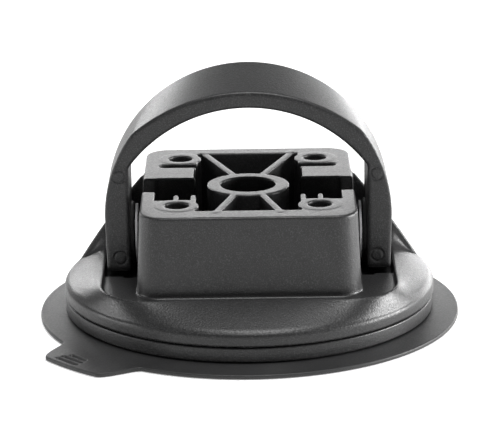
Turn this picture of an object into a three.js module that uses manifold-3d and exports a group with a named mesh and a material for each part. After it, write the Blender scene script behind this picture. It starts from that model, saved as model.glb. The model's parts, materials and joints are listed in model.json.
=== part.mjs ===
// Lever-operated suction mounting base: a rubber disc under a moulded housing, with a square
// four-hole mounting block on top and an arched lever that pulls the disc's centre up.
// Millimetres, +Z up. Origin: the disc's axis at the surface it stands on. The lever stands
// upright at rest and folds forward, towards -Y, until it comes near the block's front corners.

import * as THREE from 'three';
import { mergeVertices } from 'three/addons/utils/BufferGeometryUtils.js';
import { ParametricGeometry } from 'three/addons/geometries/ParametricGeometry.js';
import Module from 'manifold-3d';

const wasm = await Module();
wasm.setup();

// ---------------------------------------------------------------- driving dimensions

const GAP = 0.3; // clearance between neighbouring pieces
const LIFT = 3.1; // how far the pivot and the puller rise when the lever is folded

// rubber disc
const DISC_RADIUS = 45.8;
const DISC_EDGE = 0.9; // thickness of the flange at its edge
const FLANGE_TOP = 1.4; // top of the flange where the clamp ring sits on it
const DISC_HUB_RADIUS = 30.4;
const DISC_HUB_TOP = 4.2;
const DISH_RADIUS = 38; // shallow hollow under the disc
const DISH_DEPTH = 0.35;
const TAB_ANGLE = -134.5; // degrees
const TAB_HALF_ANGLE = 15.5;
const TAB_REACH = 53.5;
const GROOVE_ANGLE = -137; // degrees, the middle of the tab's three finger grooves
const GROOVES = [[51.9, 5.9], [50.4, 5.6], [48.9, 4.4]]; // distance from the disc's axis, length

// clamp ring
const RING_RADIUS = 40.2;
const RING_INNER = 30.8;
const RING_BOTTOM = FLANGE_TOP + GAP;
const RING_TOP = 4.75;

// housing shell
const BAND_BOTTOM = RING_TOP + GAP;
const BAND_TOP = 8.1;
const BAND_RADIUS = 40.4;
const RIM_Z = 12.15; // edge of the deck pocket
const DECK_Z = 11.2;
const POCKET_HALF_X = 31.2;
const POCKET_HALF_Y = 29.4;
const POCKET_CORNER = 11;
const SHELL_CAVITY_RADIUS = 36.8;
const SHELL_CEILING = 7.4;
const CENTRE_CAVITY_RADIUS = 22.5;
const CENTRE_CEILING = 7.5 + LIFT; // room for the puller's screw heads at the top of its travel
const WING_Y = 9; // front face of the rear shell

// mounting block
const BLOCK_TOP = 28.6;
const BLOCK_HALF_X = 22.9;
const BLOCK_FRONT = -25.9;
const BLOCK_REAR = 30.4;
const BLOCK_CORNER = 5;
const BLOCK_DRAFT = 0.8; // how far the block's foot stands out past its top
const CAVITY_FLOOR = 12;
const HOLE_X = 15.1;
const HOLE_FRONT_Y = -16.4;
const HOLE_REAR_Y = 21.7;
const HOLE_RADIUS = 2.6;
const HOLE_DEPTH = 15;
const BOSS_RADIUS = 4.6;
const TUBE_RADIUS = 8.9;
const BORE_RADIUS = 6;
const SPRING_BORE_RADIUS = 7.6;
const SPRING_TOP = 16;
const RIB_WIDTH = 1.5;

// lever and its pivot
const PIVOT_Z = 18;
const LEVER_HALF_DEPTH = 8;
const LEG_INNER = 25.6;
const LEG_BOTTOM = 11.3;
const ARCH_RADIUS = 30.9;
const ARCH_CENTRE_Z = 23;
const OPENING_RADIUS = 31.8;
const OPENING_CENTRE_Z = 15.6;
const LEVER_EDGE = 0.6;
const CREST_FRONT_RADIUS = 39; // the crown's outer face leans: a wide arc in front, the arch's arc behind
const CREST_FRONT_Z = 11.8;
const JOURNAL_RADIUS = 4.5;
const JOURNAL_INNER = 20;
const STUB_RADIUS = 2.6;
const STUB_END = 11.9;
const HUB_RADIUS = 6.9;
const HUB_INNER = 24.8;

// puller
const PLATE_RADIUS = 20;
const PLATE_BOTTOM = 2;
const PLATE_TOP = 4.1;
const YOKE_BOTTOM = PLATE_TOP + GAP;
const YOKE_BASE_TOP = 6.2;
const ARM_INNER = 13.6;
const ARM_OUTER = 18.6;
const ARM_RADIUS = 5;
const EYE_RADIUS = 3.8;
const YOKE_SCREW_Y = 9.6;

// ring screws
const RING_SCREW_RADIUS = 34.2; // distance from the disc's axis
const RING_SCREW_COUNT = 4;

const ROUND = 64; // sides of the large circles
const BORE_ROUND = 40;
const SMALL_ROUND = 24;
const FAR = 200; // larger than anything here

// ---------------------------------------------------------------- helpers

function toSolid(geometry) {
  const plain = geometry.index ? geometry.toNonIndexed() : geometry.clone();
  plain.deleteAttribute('normal');
  plain.deleteAttribute('uv');
  const merged = mergeVertices(plain, 1e-4);
  const index = merged.index.array;
  const kept = [];
  for (let i = 0; i < index.length; i += 3) {
    const [a, b, c] = [index[i], index[i + 1], index[i + 2]];
    if (a !== b && b !== c && c !== a) kept.push(a, b, c);
  }
  const mesh = new wasm.Mesh({
    numProp: 3,
    vertProperties: new Float32Array(merged.attributes.position.array),
    triVerts: new Uint32Array(kept),
  });
  return new wasm.Manifold(mesh);
}

function toMesh(name, solid, finish) {
  const { vertProperties, triVerts } = solid.getMesh();
  const geometry = new THREE.BufferGeometry();
  geometry.setAttribute('position', new THREE.BufferAttribute(new Float32Array(vertProperties), 3));
  geometry.setIndex(new THREE.BufferAttribute(new Uint32Array(triVerts), 1));
  geometry.computeVertexNormals();
  const mesh = new THREE.Mesh(geometry, new THREE.MeshStandardMaterial(finish));
  mesh.name = name;
  return mesh;
}

function box(x0, x1, y0, y1, z0, z1) {
  const geometry = new THREE.BoxGeometry(x1 - x0, y1 - y0, z1 - z0);
  geometry.translate((x0 + x1) / 2, (y0 + y1) / 2, (z0 + z1) / 2);
  return toSolid(geometry);
}

// an upright cylinder from z0 to z1
function post(radius, z0, z1, x = 0, y = 0, sides = SMALL_ROUND) {
  const geometry = new THREE.CylinderGeometry(radius, radius, z1 - z0, sides);
  geometry.rotateX(Math.PI / 2);
  geometry.translate(x, y, (z0 + z1) / 2);
  return toSolid(geometry);
}

// a cylinder on the pivot axis, from x0 to x1
function journal(radius, x0, x1) {
  const geometry = new THREE.CylinderGeometry(radius, radius, x1 - x0, SMALL_ROUND);
  geometry.rotateZ(Math.PI / 2);
  geometry.translate((x0 + x1) / 2, 0, PIVOT_Z);
  return toSolid(geometry);
}

// a solid of revolution about Z from [radius, z] pairs, lowest first, starting and ending on the axis
function turned(profile, sides = ROUND) {
  const points = profile.map(([radius, z]) => new THREE.Vector2(radius, z));
  const geometry = new THREE.LatheGeometry(points, sides);
  geometry.rotateX(Math.PI / 2);
  return toSolid(geometry);
}

function roundedRectangle(x0, x1, y0, y1, radius) {
  const shape = new THREE.Shape();
  shape.moveTo(x0 + radius, y0);
  shape.lineTo(x1 - radius, y0);
  shape.absarc(x1 - radius, y0 + radius, radius, -Math.PI / 2, 0);
  shape.lineTo(x1, y1 - radius);
  shape.absarc(x1 - radius, y1 - radius, radius, 0, Math.PI / 2);
  shape.lineTo(x0 + radius, y1);
  shape.absarc(x0 + radius, y1 - radius, radius, Math.PI / 2, Math.PI);
  shape.lineTo(x0, y0 + radius);
  shape.absarc(x0 + radius, y0 + radius, radius, Math.PI, Math.PI * 1.5);
  return shape;
}

function raised(shape, z0, z1) {
  const depth = z1 - z0;
  const geometry = new THREE.ExtrudeGeometry(shape, { depth, bevelEnabled: false, curveSegments: 6 });
  geometry.translate(0, 0, z0);
  return toSolid(geometry);
}

function mirrored(solid) {
  return solid.mirror([1, 0, 0]);
}

function bothSides(solid) {
  return solid.add(mirrored(solid));
}

// ---------------------------------------------------------------- finishes

const PLASTIC = { color: 0x2c2c2d, roughness: 0.5, metalness: 0 };
const LEVER_PLASTIC = { color: 0x29292a, roughness: 0.48, metalness: 0 };
const RUBBER = { color: 0x343435, roughness: 0.75, metalness: 0 };
const INNER_PLASTIC = { color: 0x1d1d1e, roughness: 0.55, metalness: 0 };
const BUSH_PLASTIC = { color: 0xd8d5cc, roughness: 0.4, metalness: 0 };
const STEEL = { color: 0xa9acb0, roughness: 0.3, metalness: 1 };

// ---------------------------------------------------------------- housing

// distance from the centre to a rounded rectangle's outline in the direction of an angle
function pocketReach(angle) {
  const direction = new THREE.Vector2(Math.abs(Math.cos(angle)), Math.abs(Math.sin(angle)));
  const cornerX = POCKET_HALF_X - POCKET_CORNER;
  const cornerY = POCKET_HALF_Y - POCKET_CORNER;
  const toSide = POCKET_HALF_X / direction.x;
  if (toSide * direction.y <= cornerY) return toSide;
  const toFront = POCKET_HALF_Y / direction.y;
  if (toFront * direction.x <= cornerX) return toFront;
  const along = direction.x * cornerX + direction.y * cornerY;
  const off = cornerX ** 2 + cornerY ** 2 - POCKET_CORNER ** 2;
  return along + Math.sqrt(along ** 2 - off);
}

// the low round body: a vertical band, then a shoulder that runs from the round band to the
// squared rim of the deck pocket
function roundBody() {
  const shoulderSteps = 8;
  const rows = [[0, BAND_BOTTOM, 0], [BAND_RADIUS, BAND_BOTTOM, 0], [BAND_RADIUS, BAND_TOP - 0.2, 0]];
  rows.push([BAND_RADIUS - 0.4, BAND_TOP, 0]);
  for (let i = 1; i <= shoulderSteps; i += 1) {
    const part = i / shoulderSteps;
    const height = BAND_TOP + (RIM_Z - BAND_TOP) * Math.sin((part * Math.PI) / 2.6) / Math.sin(Math.PI / 2.6);
    rows.push([BAND_RADIUS - 0.4, height, part]);
  }
  rows.push([0, RIM_Z, 1]);
  const surface = (u, v, target) => {
    const row = rows[Math.round(v * (rows.length - 1))];
    const angle = u * 2 * Math.PI;
    const [radius, z, part] = row;
    const reach = radius === 0 ? 0 : radius + (pocketReach(angle) - radius) * part;
    target.set(reach * Math.cos(angle), reach * Math.sin(angle), z);
  };
  return toSolid(new ParametricGeometry(surface, ROUND, rows.length - 1));
}

// the dome behind the lever, [radius, z], from the band up to the block's top
const DOME = [
  [39.6, BAND_TOP], [38.2, 10], [36.5, 12.8], [34.6, 15.6], [32.8, 18.3], [30.9, 21],
  [28.8, 23.9], [26.9, 26.3], [25.5, 28.1],
];

const DOME_TOP = DOME.at(-1)[1];

function rearDome() {
  const outside = turned([[0, BAND_TOP - 1], [DOME[0][0], BAND_TOP - 1], ...DOME, [0, DOME_TOP]]);
  return outside.intersect(box(-FAR, FAR, WING_Y, FAR, 0, FAR));
}

// hollow between the dome and the block, open underneath
function domeHollow() {
  const wall = 2.8;
  const inner = DOME.map(([radius, z]) => [radius - wall, z - wall / 2]);
  const hollow = turned([[0, SHELL_CEILING - 2], [37.2, SHELL_CEILING - 2], ...inner, [0, 26.7]]);
  const behind = hollow.intersect(box(-FAR, FAR, WING_Y + wall, FAR, 0, FAR));
  return behind.subtract(box(-BLOCK_HALF_X - 1.6, BLOCK_HALF_X + 1.6, -FAR, FAR, 0, FAR));
}

function blockBody() {
  const corner = BLOCK_CORNER;
  const top = roundedRectangle(-BLOCK_HALF_X, BLOCK_HALF_X, BLOCK_FRONT, BLOCK_REAR, corner);
  const height = BLOCK_TOP - DECK_Z + 2;
  const geometry = new THREE.ExtrudeGeometry(top, { depth: height, bevelEnabled: false, curveSegments: 5 });
  const place = geometry.attributes.position;
  const middle = (BLOCK_FRONT + BLOCK_REAR) / 2;
  for (let i = 0; i < place.count; i += 1) {
    if (place.getZ(i) < height / 2) {
      place.setX(i, place.getX(i) * (1 + BLOCK_DRAFT / BLOCK_HALF_X));
      place.setY(i, middle + (place.getY(i) - middle) * (1 + BLOCK_DRAFT / (BLOCK_REAR - middle)));
    }
  }
  geometry.translate(0, 0, DECK_Z - 2);
  return toSolid(geometry);
}

// one side of the hollows in the block, open at the top
function blockHollows() {
  const top = BLOCK_TOP + 1;
  const middle = box(-1, 11.3, -20.6, 26, CAVITY_FLOOR, top);
  const besideFinger = box(0, 12, 5.5, 14.2, CAVITY_FLOOR, top);
  const aroundArm = box(11, 20.1, -12.2, 5.5, CAVITY_FLOOR, top);
  const wallSlot = box(20, FAR / 4, -5.4, 5.2, PIVOT_Z - JOURNAL_RADIUS - 0.7, top);
  const narrowSlot = box(11, 18.2, 14.2, 17.3, CAVITY_FLOOR + 4, top);
  const slotEnd = post(1.55, CAVITY_FLOOR + 4, top, 18.2, 15.75);
  return bothSides(middle.add(besideFinger).add(aroundArm).add(wallSlot).add(narrowSlot).add(slotEnd));
}

function rib(x0, y0, x1, y1) {
  const length = Math.hypot(x1 - x0, y1 - y0);
  const geometry = new THREE.BoxGeometry(RIB_WIDTH, length, BLOCK_TOP - CAVITY_FLOOR + 1);
  geometry.rotateZ(Math.atan2(y1 - y0, x1 - x0) - Math.PI / 2);
  geometry.translate((x0 + x1) / 2, (y0 + y1) / 2, (BLOCK_TOP + CAVITY_FLOOR - 1) / 2);
  return toSolid(geometry);
}

// what stands inside the hollows: screw bosses, small teeth, four ribs and the bore tube
function blockInside() {
  const floor = CAVITY_FLOOR - 0.5;
  const teeth = box(11.2, 12.3, -13, -8.3, floor, BLOCK_TOP).add(box(14.9, 16, -13, -8.3, floor, BLOCK_TOP));
  const bosses = post(BOSS_RADIUS, floor, BLOCK_TOP, HOLE_X, HOLE_FRONT_Y)
    .add(post(BOSS_RADIUS, floor, BLOCK_TOP, HOLE_X, HOLE_REAR_Y));
  const ribs = rib(3, 7.5, 10, 27).add(rib(2.9, -7.5, 6.8, -21.6));
  const tube = post(TUBE_RADIUS, floor - 1, BLOCK_TOP, 0, 0, BORE_ROUND);
  return bothSides(teeth.add(bosses).add(ribs)).add(tube);
}

function blockHoles() {
  const top = BLOCK_TOP + 1;
  const screws = post(HOLE_RADIUS, BLOCK_TOP - HOLE_DEPTH, top, HOLE_X, HOLE_FRONT_Y)
    .add(post(HOLE_RADIUS, BLOCK_TOP - HOLE_DEPTH, top, HOLE_X, HOLE_REAR_Y));
  const bore = post(BORE_RADIUS, 0, top, 0, 0, BORE_ROUND)
    .add(post(SPRING_BORE_RADIUS, 0, SPRING_TOP, 0, 0, BORE_ROUND));
  const armHalfY = ARM_RADIUS + 0.4;
  const armHole = box(ARM_INNER - 0.6, ARM_OUTER + 0.6, -armHalfY, armHalfY, 0, CAVITY_FLOOR + 1);
  return bothSides(screws.add(armHole)).add(bore);
}

// the squared pocket around the block's front half, and the deeper places where the leg ends turn
function deckPocket() {
  const outline = roundedRectangle(
    -POCKET_HALF_X, POCKET_HALF_X, -POCKET_HALF_Y, POCKET_HALF_Y, POCKET_CORNER,
  );
  const pocket = raised(outline, DECK_Z, FAR / 2).intersect(box(-FAR, FAR, -FAR, WING_Y, 0, FAR));
  const legWell = box(LEG_INNER - 1.2, POCKET_HALF_X, -10.9, WING_Y, DECK_Z - 2, DECK_Z + 1);
  return pocket.add(bothSides(legWell));
}

function undersideHollow() {
  const shell = post(SHELL_CAVITY_RADIUS, 0, SHELL_CEILING, 0, 0, ROUND);
  return shell.add(post(CENTRE_CAVITY_RADIUS, 0, CENTRE_CEILING, 0, 0, ROUND));
}

function ringScrewPlaces() {
  const places = [];
  for (let i = 0; i < RING_SCREW_COUNT; i += 1) {
    const angle = ((i + 0.5) * 2 * Math.PI) / RING_SCREW_COUNT;
    places.push([RING_SCREW_RADIUS * Math.cos(angle), RING_SCREW_RADIUS * Math.sin(angle)]);
  }
  return places;
}

function housing() {
  const hollowBase = roundBody().subtract(undersideHollow()).subtract(deckPocket());
  const dome = rearDome().subtract(undersideHollow()).subtract(domeHollow());
  let solid = hollowBase.add(dome).subtract(domeHollow());
  solid = solid.add(blockBody()).subtract(blockHollows()).add(blockInside());
  for (const [x, y] of ringScrewPlaces()) {
    solid = solid.add(post(3, BAND_BOTTOM, SHELL_CEILING + 0.5, x, y));
    solid = solid.subtract(post(1.6, 0, 8.9, x, y));
  }
  const centre = post(CENTRE_CAVITY_RADIUS, 0, CENTRE_CEILING, 0, 0, ROUND);
  solid = solid.subtract(centre).subtract(blockHoles());
  return toMesh('housing', solid, PLASTIC);
}

// ---------------------------------------------------------------- clamp ring and disc

function clampRing() {
  const body = post(RING_RADIUS, RING_BOTTOM, RING_TOP, 0, 0, ROUND);
  let solid = body.subtract(post(RING_INNER, 0, FAR, 0, 0, ROUND));
  for (const [x, y] of ringScrewPlaces()) {
    solid = solid.subtract(post(1.6, 0, FAR, x, y)).subtract(post(2.9, 0, RING_BOTTOM + 1.5, x, y));
  }
  return toMesh('clamp_ring', solid, PLASTIC);
}

function ringScrews() {
  return ringScrewPlaces().map(([x, y], i) => {
    const head = post(2.6, RING_BOTTOM + 0.1, RING_BOTTOM + 1.2, x, y);
    const socket = post(1.2, 0, RING_BOTTOM + 0.7, x, y, 6);
    const solid = head.add(post(1.3, RING_BOTTOM + 1, 8.5, x, y, 20)).subtract(socket);
    return toMesh(`ring_screw_${i + 1}`, solid, STEEL);
  });
}

// flat lug for a fingertip, at the front left of the disc, running out of its edge in soft curves
function pullTab() {
  const tip = THREE.MathUtils.degToRad(TAB_HALF_ANGLE - 7);
  const root = THREE.MathUtils.degToRad(TAB_HALF_ANGLE);
  const middle = THREE.MathUtils.degToRad(TAB_ANGLE);
  const at = (radius, angle) => [radius * Math.cos(middle + angle), radius * Math.sin(middle + angle)];
  const inside = DISC_RADIUS - 3;
  const shape = new THREE.Shape();
  shape.moveTo(...at(inside, -root));
  shape.lineTo(...at(DISC_RADIUS, -root));
  shape.bezierCurveTo(
    ...at(DISC_RADIUS + 0.5, -root * 0.8), ...at(TAB_REACH - 0.6, -tip * 1.35), ...at(TAB_REACH, -tip),
  );
  shape.absarc(0, 0, TAB_REACH, middle - tip, middle + tip, false);
  shape.bezierCurveTo(
    ...at(TAB_REACH - 0.6, tip * 1.35), ...at(DISC_RADIUS + 0.5, root * 0.8), ...at(DISC_RADIUS, root),
  );
  shape.lineTo(...at(inside, root));
  return raised(shape, 0, DISC_EDGE);
}

function tabGrooves() {
  const middle = THREE.MathUtils.degToRad(GROOVE_ANGLE);
  let solid = null;
  for (const [radius, length] of GROOVES) {
    const geometry = new THREE.CylinderGeometry(0.42, 0.42, length, 12);
    geometry.rotateZ(middle);
    geometry.translate(radius * Math.cos(middle), radius * Math.sin(middle), DISC_EDGE + 0.1);
    const groove = toSolid(geometry);
    solid = solid ? solid.add(groove) : groove;
  }
  return solid;
}

function suctionDisc() {
  const body = turned([
    [0, DISH_DEPTH], [DISH_RADIUS - 4, DISH_DEPTH], [DISH_RADIUS, 0], [DISC_RADIUS, 0],
    [DISC_RADIUS, DISC_EDGE], [RING_RADIUS, FLANGE_TOP], [DISC_HUB_RADIUS, FLANGE_TOP],
    [DISC_HUB_RADIUS, DISC_HUB_TOP], [PLATE_RADIUS + GAP, DISC_HUB_TOP],
    [PLATE_RADIUS + GAP, PLATE_BOTTOM - GAP], [0, PLATE_BOTTOM - GAP],
  ]);
  return toMesh('suction_disc', body.add(pullTab()).subtract(tabGrooves()), RUBBER);
}

// ---------------------------------------------------------------- lever

function archOutline() {
  const shape = new THREE.Shape();
  const foot = ARCH_RADIUS - 0.3;
  const cornerZ = OPENING_CENTRE_Z + Math.sqrt(OPENING_RADIUS ** 2 - LEG_INNER ** 2);
  const turn = Math.atan2(cornerZ - OPENING_CENTRE_Z, LEG_INNER);
  shape.moveTo(LEG_INNER, LEG_BOTTOM);
  shape.lineTo(foot, LEG_BOTTOM);
  shape.lineTo(ARCH_RADIUS, ARCH_CENTRE_Z);
  shape.absarc(0, ARCH_CENTRE_Z, ARCH_RADIUS, 0, Math.PI, false);
  shape.lineTo(-foot, LEG_BOTTOM);
  shape.lineTo(-LEG_INNER, LEG_BOTTOM);
  shape.lineTo(-LEG_INNER, cornerZ);
  shape.absarc(0, OPENING_CENTRE_Z, OPENING_RADIUS, Math.PI - turn, turn, true);
  return shape;
}

// the lever seen from its side: flat faces, a round heel behind and a small round toe in front
function leverSide() {
  const half = LEVER_HALF_DEPTH;
  const heel = 5;
  const toe = 1.5;
  const shape = new THREE.Shape();
  shape.moveTo(-half + toe, LEG_BOTTOM);
  shape.lineTo(half - heel, LEG_BOTTOM);
  shape.absarc(half - heel, LEG_BOTTOM + heel, heel, -Math.PI / 2, 0);
  shape.lineTo(half, 80);
  shape.lineTo(-half, 80);
  shape.lineTo(-half, LEG_BOTTOM + toe);
  shape.absarc(-half + toe, LEG_BOTTOM + toe, toe, Math.PI, Math.PI * 1.5);
  const geometry = new THREE.ExtrudeGeometry(shape, { depth: 80, bevelEnabled: false, curveSegments: 12 });
  geometry.rotateX(Math.PI / 2);
  geometry.rotateZ(Math.PI / 2);
  geometry.translate(-40, 0, 0);
  return toSolid(geometry);
}

// keeps the crown under a leaning cone, so that its outer face slopes down to the front and a
// fingertip can get under it when the lever is folded
function crestCone() {
  const past = 1.125; // runs past the lever's faces, so that no two faces coincide
  const middleRadius = (ARCH_RADIUS + CREST_FRONT_RADIUS) / 2;
  const middleZ = (ARCH_CENTRE_Z + CREST_FRONT_Z) / 2;
  const spread = (past * (CREST_FRONT_RADIUS - ARCH_RADIUS)) / 2;
  const rise = (past * (ARCH_CENTRE_Z - CREST_FRONT_Z)) / 2;
  const depth = past * LEVER_HALF_DEPTH * 2;
  const geometry = new THREE.CylinderGeometry(middleRadius - spread, middleRadius + spread, depth, 160);
  const place = geometry.attributes.position;
  for (let i = 0; i < place.count; i += 1) {
    place.setZ(i, place.getZ(i) + middleZ + Math.sign(place.getY(i)) * rise);
  }
  return toSolid(geometry);
}

function leverBody() {
  const depth = (LEVER_HALF_DEPTH - LEVER_EDGE) * 2;
  const geometry = new THREE.ExtrudeGeometry(archOutline(), {
    depth, curveSegments: 28, bevelEnabled: true,
    bevelSize: LEVER_EDGE, bevelOffset: -LEVER_EDGE, bevelThickness: LEVER_EDGE, bevelSegments: 1,
  });
  geometry.rotateX(Math.PI / 2);
  geometry.translate(0, depth / 2, 0);
  const arch = toSolid(geometry).intersect(leverSide());
  const below = box(-FAR, FAR, -FAR, FAR, 0, ARCH_CENTRE_Z + 12);
  return arch.intersect(below.add(crestCone()));
}

// hub disc, journal through the block's wall slot, and a grooved stub inside the puller's eye
function leverJournal() {
  const hub = journal(HUB_RADIUS, HUB_INNER, LEG_INNER + 1);
  const bearing = journal(JOURNAL_RADIUS, JOURNAL_INNER, LEG_INNER + 1);
  const stub = journal(STUB_RADIUS, STUB_END, JOURNAL_INNER + 1);
  const groove = journal(FAR / 10, 12.5, 13.2).subtract(journal(1.9, 12, 14));
  return hub.add(bearing).add(stub.subtract(groove));
}

function lever() {
  return toMesh('lever', leverBody().add(bothSides(leverJournal())), LEVER_PLASTIC);
}

function pivotRing(name, inner, outer, x0, x1, finish) {
  const solid = journal(outer, x0, x1).subtract(journal(inner, x0 - 1, x1 + 1));
  return [
    toMesh(`${name}_right`, solid, finish),
    toMesh(`${name}_left`, mirrored(solid), finish),
  ];
}

// open spring clips in the stubs' grooves
function clips() {
  const ring = journal(4.1, 12.6, 13.1).subtract(journal(2.2, 12, 14));
  const solid = ring.subtract(box(12, 14, -1.6, 1.6, PIVOT_Z - 6, PIVOT_Z));
  return [toMesh('clip_right', solid, STEEL), toMesh('clip_left', mirrored(solid), STEEL)];
}

// ---------------------------------------------------------------- puller

function pullerPlate() {
  let solid = post(PLATE_RADIUS, PLATE_BOTTOM, PLATE_TOP, 0, 0, BORE_ROUND);
  for (const y of [-YOKE_SCREW_Y, YOKE_SCREW_Y]) {
    solid = solid.subtract(post(1.5, 2.6, FAR / 10, 0, y, 20));
  }
  return toMesh('puller_plate', solid, STEEL);
}

function pullerYoke() {
  let solid = raised(roundedRectangle(-19, 19, -12.4, 12.4, 4), YOKE_BOTTOM, YOKE_BASE_TOP);
  const arm = box(ARM_INNER, ARM_OUTER, -ARM_RADIUS, ARM_RADIUS, YOKE_BOTTOM, PIVOT_Z)
    .add(journal(ARM_RADIUS, ARM_INNER, ARM_OUTER))
    .subtract(journal(EYE_RADIUS, ARM_INNER - 1, ARM_OUTER + 1));
  solid = solid.add(bothSides(arm));
  for (const y of [-YOKE_SCREW_Y, YOKE_SCREW_Y]) {
    solid = solid.subtract(post(1.5, 0, FAR / 10, 0, y, 20));
  }
  return toMesh('puller_yoke', solid, INNER_PLASTIC);
}

function yokeScrews() {
  const places = { front: -YOKE_SCREW_Y, rear: YOKE_SCREW_Y };
  return Object.entries(places).map(([side, y]) => {
    const top = YOKE_BASE_TOP + GAP;
    const head = post(2.3, top, top + 0.8, 0, y, 24);
    const solid = head.add(post(1.2, PLATE_BOTTOM + 1, top + 0.3, 0, y, 20));
    return toMesh(`yoke_screw_${side}`, solid.subtract(post(0.9, top + 0.4, FAR / 10, 0, y, 6)), STEEL);
  });
}

const SEAT_TOP = YOKE_BASE_TOP + GAP + 0.5;

function springSeat() {
  const solid = post(7.2, YOKE_BASE_TOP + GAP, SEAT_TOP, 0, 0).subtract(post(5.4, 0, FAR / 10, 0, 0));
  return toMesh('spring_seat', solid, STEEL);
}

// coil spring between the seat and the shoulder in the bore tube
function returnSpring() {
  const wire = 0.45;
  const coil = 6.6;
  const turns = 4;
  const low = SEAT_TOP + wire + GAP;
  const high = SPRING_TOP - wire - GAP;
  class Helix extends THREE.Curve {
    getPoint(t, target = new THREE.Vector3()) {
      const angle = t * turns * 2 * Math.PI;
      return target.set(coil * Math.cos(angle), coil * Math.sin(angle), low + (high - low) * t);
    }
  }
  const section = new THREE.Shape();
  section.absarc(0, 0, wire, 0, 2 * Math.PI);
  const geometry = new THREE.ExtrudeGeometry(section, {
    steps: turns * 20, extrudePath: new Helix(), curveSegments: 4, bevelEnabled: false,
  });
  return toMesh('return_spring', toSolid(geometry), STEEL);
}

// ---------------------------------------------------------------- the whole base

const base = new THREE.Group();
base.add(housing(), clampRing(), ...ringScrews(), suctionDisc());
base.add(lever());
base.add(...pivotRing('bush', 2.9, 3.5, ARM_INNER, ARM_OUTER, BUSH_PLASTIC));
base.add(...pivotRing('thrust_washer', 4.8, 6.4, 24.05, 24.5, BUSH_PLASTIC));
base.add(...clips());
base.add(pullerPlate(), pullerYoke(), ...yokeScrews(), springSeat(), returnSpring());

export default base;
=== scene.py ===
"""Looks of the lever-operated suction mounting base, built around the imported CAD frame.

The housing and the lever are one moulding each. Each is written as a distance field in
millimetres, with rounded joins and edges, and turned into a fine mesh that stands for the
CAD node. The disc and the ring are turned profiles. Inner pieces keep their CAD meshes.
"""

import json
import math

import bpy
import numpy as np
from mathutils import Matrix, Vector


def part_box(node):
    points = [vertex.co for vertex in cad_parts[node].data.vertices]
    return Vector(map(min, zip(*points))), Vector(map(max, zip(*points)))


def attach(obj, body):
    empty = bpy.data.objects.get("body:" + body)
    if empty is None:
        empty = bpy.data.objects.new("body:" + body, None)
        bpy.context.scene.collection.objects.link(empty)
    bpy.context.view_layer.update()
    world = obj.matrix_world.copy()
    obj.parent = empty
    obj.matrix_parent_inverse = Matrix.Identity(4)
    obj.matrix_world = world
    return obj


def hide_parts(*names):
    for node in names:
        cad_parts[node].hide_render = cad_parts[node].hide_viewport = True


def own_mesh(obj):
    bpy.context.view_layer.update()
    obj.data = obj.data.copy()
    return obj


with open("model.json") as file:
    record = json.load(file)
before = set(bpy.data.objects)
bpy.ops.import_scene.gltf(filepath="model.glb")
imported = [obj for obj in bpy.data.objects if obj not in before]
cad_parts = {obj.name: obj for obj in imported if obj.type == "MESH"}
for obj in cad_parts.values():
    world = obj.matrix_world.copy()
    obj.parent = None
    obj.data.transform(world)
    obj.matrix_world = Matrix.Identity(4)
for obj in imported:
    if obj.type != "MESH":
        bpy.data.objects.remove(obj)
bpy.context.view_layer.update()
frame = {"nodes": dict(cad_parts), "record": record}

MM = 0.001

# ---------------------------------------------------------------- sizes taken from the frame, in mm


def span(node):
    """A node's lowest and highest corners in millimetres."""
    low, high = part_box(node)
    return [value / MM for value in low], [value / MM for value in high]


housing_low, housing_high = span("housing")
lever_low, lever_high = span("lever")
ring_low, ring_high = span("clamp_ring")
disc_high = span("suction_disc")[1]
joints = {joint["type"]: joint for joint in frame["record"]["behaviour"]["joints"]}
hinge, slide = joints["hinge"], joints["slide"]
PIVOT_Z = hinge["pos_m"][2] / MM

# ---------------------------------------------------------------- distance fields


def rounded_box(u, v, u0, u1, v0, v1, radius=0.0):
    """Distance to a rectangle with rounded corners in the plane of u and v."""
    across = np.abs(u - (u0 + u1) / 2) - ((u1 - u0) / 2 - radius)
    along = np.abs(v - (v0 + v1) / 2) - ((v1 - v0) / 2 - radius)
    outside = np.hypot(np.maximum(across, 0), np.maximum(along, 0))
    return outside + np.minimum(np.maximum(across, along), 0) - radius


def circle(u, v, radius, u0=0.0, v0=0.0):
    return np.hypot(u - u0, v - v0) - radius


def stroke(u, v, start, end, width):
    """Distance to a straight wall between two points."""
    du, dv = end[0] - start[0], end[1] - start[1]
    along = np.clip(((u - start[0]) * du + (v - start[1]) * dv) / (du * du + dv * dv), 0, 1)
    return np.hypot(u - start[0] - along * du, v - start[1] - along * dv) - width / 2


def join(a, b, blend=0.4):
    """Union of two solids with a fillet of about half the blend width."""
    soft = np.maximum(blend - np.abs(a - b), 0) / blend
    return np.minimum(a, b) - soft * soft * blend / 4


def common(a, b, blend=0.4):
    return -join(-a, -b, blend)


def cut(a, b, blend=0.4):
    return -join(-a, b, blend)


def smooth_step(value, low, high):
    part = np.clip((value - low) / (high - low), 0, 1)
    return part * part * (3 - 2 * part)


# ---------------------------------------------------------------- housing

BAND_RADIUS = housing_high[0]
BAND_BOTTOM = housing_low[2]
BLOCK_TOP = housing_high[2]
BAND_TOP = 8.1
RIM_Z = 12.15
DECK_Z = 11.2
POCKET = dict(u0=-31.2, u1=31.2, v0=-29.4, v1=29.4, radius=11)
WING_Y = 9
CAVITY_FLOOR = 12
HOLE_X = 15.1
HOLE_ROWS = (-16.4, 21.7)
BORE_RADIUS = 6
TUBE_RADIUS = 8.9
CENTRE_CEILING = 10.6
BLOCK_CORNER = 5
BLOCK_HALF_WIDTH = 22.9
BLOCK_HALF_LENGTH = 28.15
BLOCK_MIDDLE_Y = 2.25
BLOCK_DRAFT = 0.8  # how much wider each side is at the deck than at the top


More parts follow.
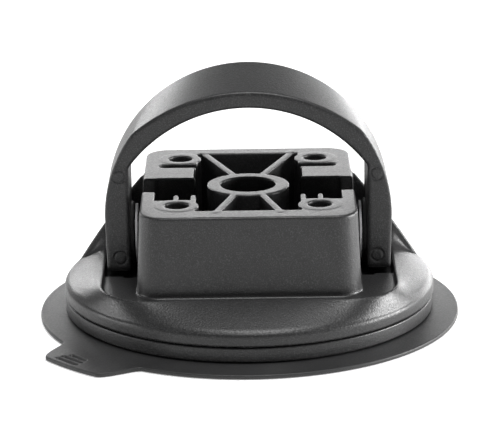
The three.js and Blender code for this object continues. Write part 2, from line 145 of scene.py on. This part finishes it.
def shoulder_top(x, y, radius):
    """Height of the shoulder between the round band and the squared rim of the deck."""
    from_rim = np.maximum(rounded_box(x, y, **POCKET), 0)
    from_band = np.maximum(BAND_RADIUS - 0.4 - radius, 0)
    part = from_band / np.maximum(from_rim + from_band, 1e-6)
    rise = np.sin(part * math.pi / 2.6) / math.sin(math.pi / 2.6)
    return BAND_TOP + (RIM_Z - BAND_TOP) * rise


def dome_radius(z):
    """Radius of the rear dome at a height."""
    up = z - BAND_TOP
    return BAND_RADIUS - 1 - 0.6 * up - 0.0047 * up * up


def block_outline(x, y, z):
    """The block's four drafted sides."""
    spread = BLOCK_DRAFT * (BLOCK_TOP - z) / (BLOCK_TOP - DECK_Z)
    across = np.abs(x) - (BLOCK_HALF_WIDTH + spread - BLOCK_CORNER)
    along = np.abs(y - BLOCK_MIDDLE_Y) - (BLOCK_HALF_LENGTH + spread - BLOCK_CORNER)
    outside = np.hypot(np.maximum(across, 0), np.maximum(along, 0))
    return outside + np.minimum(np.maximum(across, along), 0) - BLOCK_CORNER


def housing_field(x, y, z):
    side = np.abs(x)
    radius = np.hypot(x, y)
    top = shoulder_top(x, y, radius)
    body = common(radius - BAND_RADIUS, (z - top) * 0.92, 1.3)
    dome = common((radius - dome_radius(z)) * 0.85, z - BLOCK_TOP + 0.35, 0.4)
    dome = common(dome, WING_Y - y, 1.0)
    flow = smooth_step(37.5 - radius, 0, 6) * smooth_step(17 - y, 0, 6)
    body = join(body, dome, 0.4 + 5.5 * flow)
    pocket = common(rounded_box(x, y, **POCKET), y - WING_Y, 0.6)
    body = cut(body, common(pocket, DECK_Z - z, 0.5), 0.7)
    hub_well = rounded_box(side, y, 24.3, 26.9, -11.2, WING_Y, 0.3)
    leg_well = rounded_box(side, y, 26, POCKET["u1"], -10.2, WING_Y, 0.3)
    well = np.minimum(hub_well, leg_well)
    body = cut(body, np.maximum(well, DECK_Z - 2 - z), 0.3)
    block = common(block_outline(x, y, z), z - BLOCK_TOP, 0.5)
    body = join(body, np.maximum(block, BAND_TOP - z), 0.5)
    body = cut(body, block_hollows(side, y, z), 0.25)
    body = join(body, common(block_inside(side, y), z - BLOCK_TOP, 0.25), 0.3)
    body = np.maximum(body, BAND_BOTTOM - z)
    return cut(body, block_holes(side, y, z, radius), 0.25)


def block_hollows(side, y, z):
    plan = rounded_box(side, y, -11.3, 11.3, -20.6, 26, 0.6)
    plan = join(plan, rounded_box(side, y, -12, 12, 5.5, 14.2, 1.2), 0.3)
    plan = join(plan, rounded_box(side, y, -20.1, 20.1, -12.2, 5.5, 0.4), 0.3)
    narrow = rounded_box(side, y, -19.75, 19.75, 14.2, 17.3, 1.5)
    slot = rounded_box(side, y, 19, 60, -5.4, 5.2, 0.3)
    deep = np.maximum(join(plan, narrow, 0.3), CAVITY_FLOOR - z)
    return join(deep, np.maximum(slot, PIVOT_Z - 5.2 - z), 0.3)


def block_inside(side, y):
    """Bosses, teeth, ribs and bore tube that stand in the hollows."""
    plan = circle(side, y, TUBE_RADIUS)
    for row in HOLE_ROWS:
        plan = join(plan, circle(side, y, 4.6, HOLE_X, row), 0.5)
    for tooth in (11.75, 15.45):
        plan = join(plan, stroke(side, y, (tooth, -13), (tooth, -8.8), 1.1), 0.4)
    plan = join(plan, stroke(side, y, (3, 7.5), (10, 27), 1.5), 0.5)
    return join(plan, stroke(side, y, (2.9, -7.5), (6.8, -21.6), 1.5), 0.5)


def block_holes(side, y, z, radius):
    holes = radius - BORE_RADIUS
    holes = np.minimum(holes, np.maximum(radius - 7.6, z - 16))
    for row in HOLE_ROWS:
        holes = np.minimum(holes, np.maximum(circle(side, y, 2.6, HOLE_X, row), BLOCK_TOP - 15 - z))
    arm = np.maximum(rounded_box(side, y, 13, 19.2, -5.4, 5.4), z - CAVITY_FLOOR - 1)
    under = np.minimum(np.maximum(radius - 36.8, z - 7.4), np.maximum(radius - 22.5, z - CENTRE_CEILING))
    return np.minimum(np.minimum(holes, arm), under)


# ---------------------------------------------------------------- lever

LEVER_DEPTH = lever_high[1]
ARCH_RADIUS = lever_high[0]
LEG_BOTTOM = 11.3
LEG_INNER = 25.6
ARCH_Z = 23.4
CREST_FRONT_RADIUS = 39
CREST_FRONT_Z = 11.8
EJECTOR_PLACES = ((27.6, 32.8), (27.7, 14.5))  # round pin marks on the legs' front faces: side, height
EJECTOR_RADIUS = 1.35
EJECTOR_HALF_WIDTH = 0.24
EJECTOR_DEPTH = 0.3
HUB_RADIUS = 6.9
BEARING_RADIUS = 4.5
STUB_RADIUS = 2.6


def lever_field(x, y, z):
    side = np.abs(x)
    taper = 0.3 * np.clip((ARCH_Z - z) / (ARCH_Z - LEG_BOTTOM), 0, 1)
    outer = np.hypot(x, np.maximum(z - ARCH_Z, 0)) - ARCH_RADIUS + taper
    back = np.clip((y + LEVER_DEPTH) / (2 * LEVER_DEPTH), 0, 1)
    crest_z = CREST_FRONT_Z + (ARCH_Z - CREST_FRONT_Z) * back
    crest_radius = CREST_FRONT_RADIUS + (ARCH_RADIUS - CREST_FRONT_RADIUS) * back
    crown = np.hypot(x, np.maximum(z - crest_z, 0)) - crest_radius
    outer = common(outer, crown * 0.9, 0.15)
    opening = common(side - LEG_INNER, np.hypot(x, z - 15.6) - 31.8, 0.3)
    arch = cut(outer, opening, 0.3)
    flat = common(-LEVER_DEPTH - y, y - LEVER_DEPTH, 0.4)
    profile = common(arch, flat, 0.8)
    toe = rounded_box(y, z, -LEVER_DEPTH, LEVER_DEPTH + 20, LEG_BOTTOM, 100, 1.3)
    heel = rounded_box(y, z, -LEVER_DEPTH - 20, LEVER_DEPTH, LEG_BOTTOM, 100, 5)
    profile = common(profile, common(toe, heel, 0.3), 0.8)
    for place in EJECTOR_PLACES:
        ring = np.abs(circle(side, z, EJECTOR_RADIUS, *place)) - EJECTOR_HALF_WIDTH
        mark = np.maximum(ring, y + LEVER_DEPTH - EJECTOR_DEPTH)
        profile = np.maximum(profile, -mark)
    axis = np.hypot(y, z - PIVOT_Z)
    hub = common(axis - HUB_RADIUS, np.maximum(24.8 - side, side - LEG_INNER - 1), 0.5)
    bearing = np.maximum(axis - BEARING_RADIUS, np.maximum(20 - side, side - LEG_INNER - 1))
    stub = common(axis - STUB_RADIUS, np.maximum(11.9 - side, side - 21), 0.4)
    groove = np.maximum(1.9 - axis, np.abs(side - 12.85) - 0.35)
    stub = cut(stub, groove, 0.2)
    return join(profile, np.minimum(join(hub, bearing, 0.5), stub), 0.6)


# ---------------------------------------------------------------- fields to meshes


def surface_net(field, low, high, step):
    """Vertices and quads of the surface where the field is zero."""
    axes = [np.arange(a - 2 * step, b + 2.5 * step, step) for a, b in zip(low, high)]
    x, y, z = (axis.reshape(shape) for axis, shape in zip(axes, ((-1, 1, 1), (1, -1, 1), (1, 1, -1))))
    values = np.broadcast_to(field(x, y, z), [len(axis) for axis in axes]).astype(np.float32)
    inside = values < 0
    corners = [(i, j, k) for i in (0, 1) for j in (0, 1) for k in (0, 1)]
    size = [n - 1 for n in inside.shape]

    def shifted(array, corner):
        return array[tuple(slice(c, c + n) for c, n in zip(corner, size))]

    count = sum(shifted(inside, corner).astype(np.int8) for corner in corners)
    active = np.argwhere((count > 0) & (count < 8))
    ids = np.full(size, -1, np.int64)
    ids[tuple(active.T)] = np.arange(len(active))
    total = np.zeros((len(active), 3))
    hits = np.zeros(len(active))
    for a in corners:
        for axis in range(3):
            if a[axis]:
                continue
            b = tuple(1 if n == axis else c for n, c in enumerate(a))
            va = values[tuple((active + a).T)]
            vb = values[tuple((active + b).T)]
            crossing = (va < 0) != (vb < 0)
            part = np.where(crossing, va / np.where(crossing, va - vb, 1), 0)
            point = np.array(a) + part[:, None] * (np.array(b) - np.array(a))
            total += np.where(crossing[:, None], point, 0)
            hits += crossing
    origin = np.array([axis[0] for axis in axes])
    vertices = origin + (active + total / hits[:, None]) * step
    quads = []
    for axis in range(3):
        first, second = (axis + 1) % 3, (axis + 2) % 3
        a = [slice(1, -1)] * 3
        b = [slice(1, -1)] * 3
        a[axis] = slice(0, -1)
        b[axis] = slice(1, None)
        start, end = inside[tuple(a)], inside[tuple(b)]
        cells = np.argwhere(start != end) + [0 if n == axis else 1 for n in range(3)]
        leaving = start[start != end]
        ring = []
        for d_first, d_second in ((0, 0), (-1, 0), (-1, -1), (0, -1)):
            move = np.zeros(3, int)
            move[first], move[second] = d_first, d_second
            ring.append(ids[tuple((cells + move).T)])
        ring = np.stack(ring, 1)
        quads.append(np.where(leaving[:, None], ring, ring[:, ::-1]))
    return vertices, np.concatenate(quads)


def settle(field, vertices, step, rounds=2):
    """Moves each vertex onto the true surface along the field's slope."""
    reach = step * 0.25
    for _ in range(rounds):
        slope = np.empty_like(vertices)
        for axis in range(3):
            move = np.zeros(3)
            move[axis] = reach
            slope[:, axis] = field(*(vertices + move).T) - field(*(vertices - move).T)
        slope /= 2 * reach
        size = np.maximum((slope**2).sum(1), 0.25)
        shift = -(field(*vertices.T) / size)[:, None] * slope
        vertices = vertices + np.clip(shift, -step / 2, step / 2)
    return vertices


def mesh_object(name, vertices, faces):
    mesh = bpy.data.meshes.new(name)
    mesh.from_pydata([tuple(v) for v in np.asarray(vertices) * MM], [], [tuple(f) for f in faces])
    mesh.validate()
    mesh.polygons.foreach_set("use_smooth", [True] * len(mesh.polygons))
    mesh.update()
    piece = bpy.data.objects.new(name, mesh)
    bpy.context.collection.objects.link(piece)
    return piece


def moulding(name, field, low, high, step):
    vertices, quads = surface_net(field, low, high, step)
    vertices = settle(field, vertices, step)
    return mesh_object(name, vertices, quads.tolist())


# ---------------------------------------------------------------- turned pieces


def turned(name, profile, segments=256):
    """A closed profile of (radius, z) points turned about Z, with no point on the axis."""
    count = len(profile)
    vertices = []
    for i in range(segments):
        angle = 2 * math.pi * i / segments
        vertices += [(r * math.cos(angle), r * math.sin(angle), z) for r, z in profile]
    faces = []
    for i in range(segments):
        after = (i + 1) % segments
        for j in range(count):
            k = (j + 1) % count
            faces.append((i * count + j, after * count + j, after * count + k, i * count + k))
    return mesh_object(name, vertices, faces)


def rounded_profile(points, radius, steps=4):
    """A closed outline with each corner rounded."""
    result = []
    for i, point in enumerate(points):
        here = np.array(point, float)
        before = np.array(points[i - 1], float)
        after = np.array(points[(i + 1) % len(points)], float)
        reach = min(radius, np.linalg.norm(before - here) / 2.2, np.linalg.norm(after - here) / 2.2)
        start = here + (before - here) / np.linalg.norm(before - here) * reach
        end = here + (after - here) / np.linalg.norm(after - here) * reach
        for t in np.linspace(0, 1, steps + 1):
            result.append(tuple((1 - t) ** 2 * start + 2 * t * (1 - t) * here + t**2 * end))
    return result


RING_INNER = 30.8


def clamp_ring():
    outer, bottom, top = ring_high[0], ring_low[2], ring_high[2]
    outline = [(RING_INNER, bottom), (outer, bottom), (outer, top), (RING_INNER, top)]
    return turned("clamp_ring_fine", rounded_profile(outline, 0.35))


TAB_MIDDLE = math.radians(-134.5)
TAB_REACH = 53.5
GROOVE_MIDDLE = math.radians(-137)
GROOVES = ((51.9, 5.9), (50.4, 5.6), (48.9, 4.4))  # distance from the disc's axis, length


def disc_reach(angle):
    """Outer radius of the disc and its tab in a direction."""
    off = np.abs((angle - TAB_MIDDLE + math.pi) % (2 * math.pi) - math.pi)
    rise = 1 - smooth_step(off, math.radians(8), math.radians(15.5))
    return disc_high[0] + (TAB_REACH - disc_high[0]) * rise


def groove_depth(x, y):
    """Three grip grooves across the tab."""
    out = x * math.cos(GROOVE_MIDDLE) + y * math.sin(GROOVE_MIDDLE)
    across = -x * math.sin(GROOVE_MIDDLE) + y * math.cos(GROOVE_MIDDLE)
    depth = np.zeros_like(x)
    for radius, length in GROOVES:
        distance = stroke(out, across, (radius, -length / 2), (radius, length / 2), 0)
        depth = np.maximum(depth, 0.45 * (1 - smooth_step(distance, 0.1, 0.62)))
    return depth


def suction_disc():
    """Rubber disc as rings of points: the underside from the axis out, then the top back in."""
    wide = np.radians(np.concatenate([np.arange(-118, 205, 1.5), np.arange(-155, -118, 0.15)]))
    fractions = np.linspace(0, 1, 60)
    under = [(r, 0.35 - 0.35 * smooth_step(r, 33, 38)) for r in (0.01, 10, 20, 30, 33, 34.5, 36, 37, 38, 40)]
    collar = [(30.6, 1.4), (30.4, 1.6), (30.4, 4.0), (30.1, 4.2), (20.6, 4.2), (20.3, 4.0)]
    inner_top = collar + [(20.3, 1.7), (0.01, 1.7)]
    x_rows, y_rows, z_rows = [], [], []
    edge = disc_reach(wide)

    def add(radius, z):
        x_rows.append(radius * np.cos(wide))
        y_rows.append(radius * np.sin(wide))
        z_rows.append(z + np.zeros_like(wide))

    for radius, z in under:
        add(radius, z)
    add(edge - 0.25, 0.0)
    add(edge - 0.06, 0.08)
    add(edge, 0.25)
    add(edge, 0.65)
    add(edge - 0.07, 0.84)
    for part in fractions:
        radius = edge - 0.25 - (edge - 0.25 - 40) * part
        z = 0.9 + 0.5 * smooth_step(46 - radius, 0, 6)
        z = z - groove_depth(radius * np.cos(wide), radius * np.sin(wide))
        add(radius, z)
    for radius, z in inner_top:
        add(radius, z)
    points = np.stack([np.array(x_rows), np.array(y_rows), np.array(z_rows)], 2)
    rows, count = points.shape[:2]
    faces = []
    for i in range(rows - 1):
        for j in range(count):
            k = (j + 1) % count
            faces.append((i * count + j, (i + 1) * count + j, (i + 1) * count + k, i * count + k))
    faces.append(tuple(range(count)))
    faces.append(tuple((rows - 1) * count + j for j in reversed(range(count))))
    return mesh_object("suction_disc_fine", points.reshape(-1, 3), faces)


SPRING_WIRE = 0.45  # radius of the wire
SPRING_COIL = 6.6  # radius of the coil, to the wire's middle
SPRING_TURNS = 4


def return_spring():
    """Coil spring: a round wire swept along a helix, closed at both ends."""
    low, high = span("return_spring")
    sides = 14
    steps = 240
    rise = high[2] - low[2] - 2 * SPRING_WIRE
    vertices = []
    for i in range(steps + 1):
        angle = 2 * math.pi * SPRING_TURNS * i / steps
        outward = np.array((math.cos(angle), math.sin(angle), 0))
        climb = rise / (2 * math.pi * SPRING_TURNS)
        along = np.array((-math.sin(angle) * SPRING_COIL, math.cos(angle) * SPRING_COIL, climb))
        upward = np.cross(outward, along / np.linalg.norm(along))
        centre = outward * SPRING_COIL + np.array((0, 0, low[2] + SPRING_WIRE + rise * i / steps))
        for j in range(sides):
            turn = 2 * math.pi * j / sides
            vertices.append(centre + SPRING_WIRE * (math.cos(turn) * outward + math.sin(turn) * upward))
    faces = []
    for i in range(steps):
        for j in range(sides):
            k = (j + 1) % sides
            faces.append((i * sides + j, (i + 1) * sides + j, (i + 1) * sides + k, i * sides + k))
    faces.append(tuple(range(sides)))
    faces.append(tuple(steps * sides + j for j in reversed(range(sides))))
    return mesh_object("return_spring_fine", vertices, faces)


# ---------------------------------------------------------------- materials


def plain_material(name, colour, roughness):
    material = bpy.data.materials.new(name)
    material.use_nodes = True
    nodes, links = material.node_tree.nodes, material.node_tree.links
    shader = nodes["Principled BSDF"]
    shader.inputs["Base Color"].default_value = (*colour, 1)
    shader.inputs["Roughness"].default_value = roughness
    return material, nodes, links, shader


def noise(nodes, links, place, scale, detail=2.0):
    node = nodes.new("ShaderNodeTexNoise")
    node.inputs["Scale"].default_value = scale
    node.inputs["Detail"].default_value = detail
    links.new(place.outputs["Object"], node.inputs["Vector"])
    return node


def ramp(nodes, links, source, low, high, first, second):
    """Maps a value between two positions to two colours or greys."""
    node = nodes.new("ShaderNodeValToRGB")
    node.color_ramp.elements[0].position = low
    node.color_ramp.elements[1].position = high
    node.color_ramp.elements[0].color = (*first, 1)
    node.color_ramp.elements[1].color = (*second, 1)
    links.new(source, node.inputs["Fac"])
    return node


def moulded_plastic(name, grey, roughness, grain=1.0, specks=True):
    """Glass-filled black plastic: spark-eroded grain, faint clouding and a few pale specks."""
    colour = (grey, grey, grey * 1.02)
    material, nodes, links, shader = plain_material(name, colour, roughness)
    place = nodes.new("ShaderNodeTexCoord")
    cloud = noise(nodes, links, place, 160, 3)
    dark = [c * 0.85 for c in colour]
    pale = [c * 1.18 for c in colour]
    shade = ramp(nodes, links, cloud.outputs["Fac"], 0.3, 0.7, dark, pale)
    tint = shade.outputs["Color"]
    if specks:
        dots = noise(nodes, links, place, 4200, 2)
        mask = ramp(nodes, links, dots.outputs["Fac"], 0.5, 0.8, (0, 0, 0), (0.8, 0.8, 0.8))
        mix = nodes.new("ShaderNodeMix")
        mix.data_type = "RGBA"
        links.new(mask.outputs["Color"], mix.inputs["Factor"])
        links.new(tint, mix.inputs["A"])
        mix.inputs["B"].default_value = (grey * 5, grey * 5, grey * 5.1, 1)
        tint = mix.outputs["Result"]
    links.new(tint, shader.inputs["Base Color"])
    fine = noise(nodes, links, place, 2400, 2)
    smooth = [roughness - 0.07] * 3
    coarse = [roughness + 0.08] * 3
    rough = ramp(nodes, links, fine.outputs["Fac"], 0.25, 0.75, smooth, coarse)
    links.new(rough.outputs["Color"], shader.inputs["Roughness"])
    bump = nodes.new("ShaderNodeBump")
    bump.inputs["Strength"].default_value = 0.7 * grain
    bump.inputs["Distance"].default_value = 0.00008
    links.new(fine.outputs["Fac"], bump.inputs["Height"])
    links.new(bump.outputs["Normal"], shader.inputs["Normal"])
    return material


def rubber_material():
    """Matt rubber: a powdery bloom and a very fine, soft grain."""
    material, nodes, links, shader = plain_material("rubber", (0.034, 0.034, 0.035), 0.5)
    place = nodes.new("ShaderNodeTexCoord")
    cloud = noise(nodes, links, place, 90, 4)
    shade = ramp(nodes, links, cloud.outputs["Fac"], 0.3, 0.7, (0.018, 0.018, 0.0185), (0.028, 0.028, 0.0285))
    links.new(shade.outputs["Color"], shader.inputs["Base Color"])
    fine = noise(nodes, links, place, 2600, 3)
    rough = ramp(nodes, links, fine.outputs["Fac"], 0.3, 0.7, [0.42] * 3, [0.56] * 3)
    links.new(rough.outputs["Color"], shader.inputs["Roughness"])
    bump = nodes.new("ShaderNodeBump")
    bump.inputs["Strength"].default_value = 0.5
    bump.inputs["Distance"].default_value = 0.00005
    links.new(fine.outputs["Fac"], bump.inputs["Height"])
    links.new(bump.outputs["Normal"], shader.inputs["Normal"])
    return material


def steel_material():
    """Zinc-plated steel with a fine mottled tone and roughness."""
    material, nodes, links, shader = plain_material("plated_steel", (0.55, 0.56, 0.57), 0.32)
    shader.inputs["Metallic"].default_value = 1
    place = nodes.new("ShaderNodeTexCoord")
    cloud = noise(nodes, links, place, 700, 3)
    shade = ramp(nodes, links, cloud.outputs["Fac"], 0.3, 0.7, (0.46, 0.47, 0.48), (0.62, 0.63, 0.65))
    links.new(shade.outputs["Color"], shader.inputs["Base Color"])
    rough = ramp(nodes, links, cloud.outputs["Fac"], 0.3, 0.7, [0.26] * 3, [0.4] * 3)
    links.new(rough.outputs["Color"], shader.inputs["Roughness"])
    return material


# ---------------------------------------------------------------- the pieces

HOUSING_STEP = 0.3
LEVER_STEP = 0.24

housing_plastic = moulded_plastic("housing_plastic", 0.015, 0.38)
lever_plastic = moulded_plastic("lever_plastic", 0.015, 0.4)
inner_plastic = moulded_plastic("inner_plastic", 0.012, 0.5, specks=False)
bush_plastic = moulded_plastic("bush_plastic", 0.6, 0.4, grain=0.4, specks=False)
rubber = rubber_material()
steel = steel_material()

RECORD_SLOTS = {
    "housing_plastic": housing_plastic,
    "lever_plastic": lever_plastic,
    "inner_plastic": inner_plastic,
    "bush_plastic": bush_plastic,
    "rubber": rubber,
    "steel": steel,
}


def finish_piece(piece, body, node, slot):
    piece.data.materials.append(RECORD_SLOTS[slot])
    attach(piece, body)
    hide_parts(node)


housing = moulding("housing_fine", housing_field, housing_low, housing_high, HOUSING_STEP)
finish_piece(housing, "base", "housing", "housing_plastic")
lever = moulding("lever_fine", lever_field, lever_low, lever_high, LEVER_STEP)
finish_piece(lever, "lever", "lever", "lever_plastic")
finish_piece(clamp_ring(), "base", "clamp_ring", "housing_plastic")
finish_piece(suction_disc(), "base", "suction_disc", "rubber")

spring = return_spring()
finish_piece(spring, "base", "return_spring", "steel")
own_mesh(spring)

for subpart in frame["record"]["subparts"]:
    node = frame["nodes"][subpart["node"]]
    node.data.materials.clear()
    node.data.materials.append(RECORD_SLOTS[subpart["material_slot"]])

# ---------------------------------------------------------------- stage, light and camera


FLOOR_Z = -0.0001  # metres, just clear of the disc's flat rim


def floor():
    mesh = bpy.data.meshes.new("floor")
    reach = 3.0
    corners = [(x * reach, y * reach, FLOOR_Z) for x, y in ((-1, -1), (1, -1), (1, 1), (-1, 1))]
    mesh.from_pydata(corners, [], [(0, 1, 2, 3)])
    plane = bpy.data.objects.new("floor", mesh)
    bpy.context.collection.objects.link(plane)
    material, _, _, shader = plain_material("pale_floor", (0.9, 0.9, 0.9), 0.9)
    shader.inputs["Specular IOR Level"].default_value = 0.1
    shader.inputs["Emission Color"].default_value = (1, 1, 1, 1)
    shader.inputs["Emission Strength"].default_value = 0.35
    mesh.materials.append(material)


def soft_light(name, place, target, width, height, power):
    data = bpy.data.lights.new(name, "AREA")
    data.shape = "RECTANGLE"
    data.size, data.size_y, data.energy = width, height, power
    lamp = bpy.data.objects.new(name, data)
    lamp.location = place
    lamp.rotation_euler = (Vector(target) - Vector(place)).to_track_quat("-Z", "Y").to_euler()
    bpy.context.collection.objects.link(lamp)


def camera():
    """Long lens from the front, 18 degrees above the surface."""
    elevation = math.radians(18.34)
    distance = 0.566
    above_axis = math.radians(1.93)
    roll = math.radians(0.78)
    data = bpy.data.cameras.new("camera")
    data.sensor_width = 36
    data.lens = 184.7
    data.clip_end = 20
    lens = bpy.data.objects.new("camera", data)
    back = Vector((0, -math.cos(elevation), math.sin(elevation)))
    pitch = elevation - above_axis
    turn = Matrix.Rotation(math.pi / 2 - pitch, 4, "X") @ Matrix.Rotation(-0.000585, 4, "Y")
    turn = turn @ Matrix.Rotation(-roll, 4, "Z")
    lens.matrix_world = Matrix.Translation(back * distance) @ turn
    bpy.context.collection.objects.link(lens)
    bpy.context.scene.camera = lens


floor()
camera()
middle = (0, 0, 0.02)
soft_light("key_right", (1.1, 0.1, 0.25), middle, 0.5, 0.35, 10)
soft_light("low_left", (-0.8, 0, 0.12), middle, 0.3, 0.15, 1.5)
soft_light("low_right", (0.8, 0, 0.1), middle, 0.4, 0.15, 4)
soft_light("behind", (0.08, 1.3, 0.31), middle, 0.85, 0.46, 4.4)
soft_light("behind_right", (0.8, 1.2, 0.15), middle, 0.8, 0.22, 7)
soft_light("behind_left", (-0.6, 1.15, 0.42), middle, 0.4, 0.3, 4)
soft_light("overhead", (0.1, -0.25, 1.3), middle, 0.7, 0.7, 13)
world = bpy.data.worlds.new("studio")
world.use_nodes = True
world.node_tree.nodes["Background"].inputs["Color"].default_value = (1, 1, 1, 1)
world.node_tree.nodes["Background"].inputs["Strength"].default_value = 0.18
bpy.context.scene.world = world
bpy.context.scene.view_settings.view_transform = "Standard"
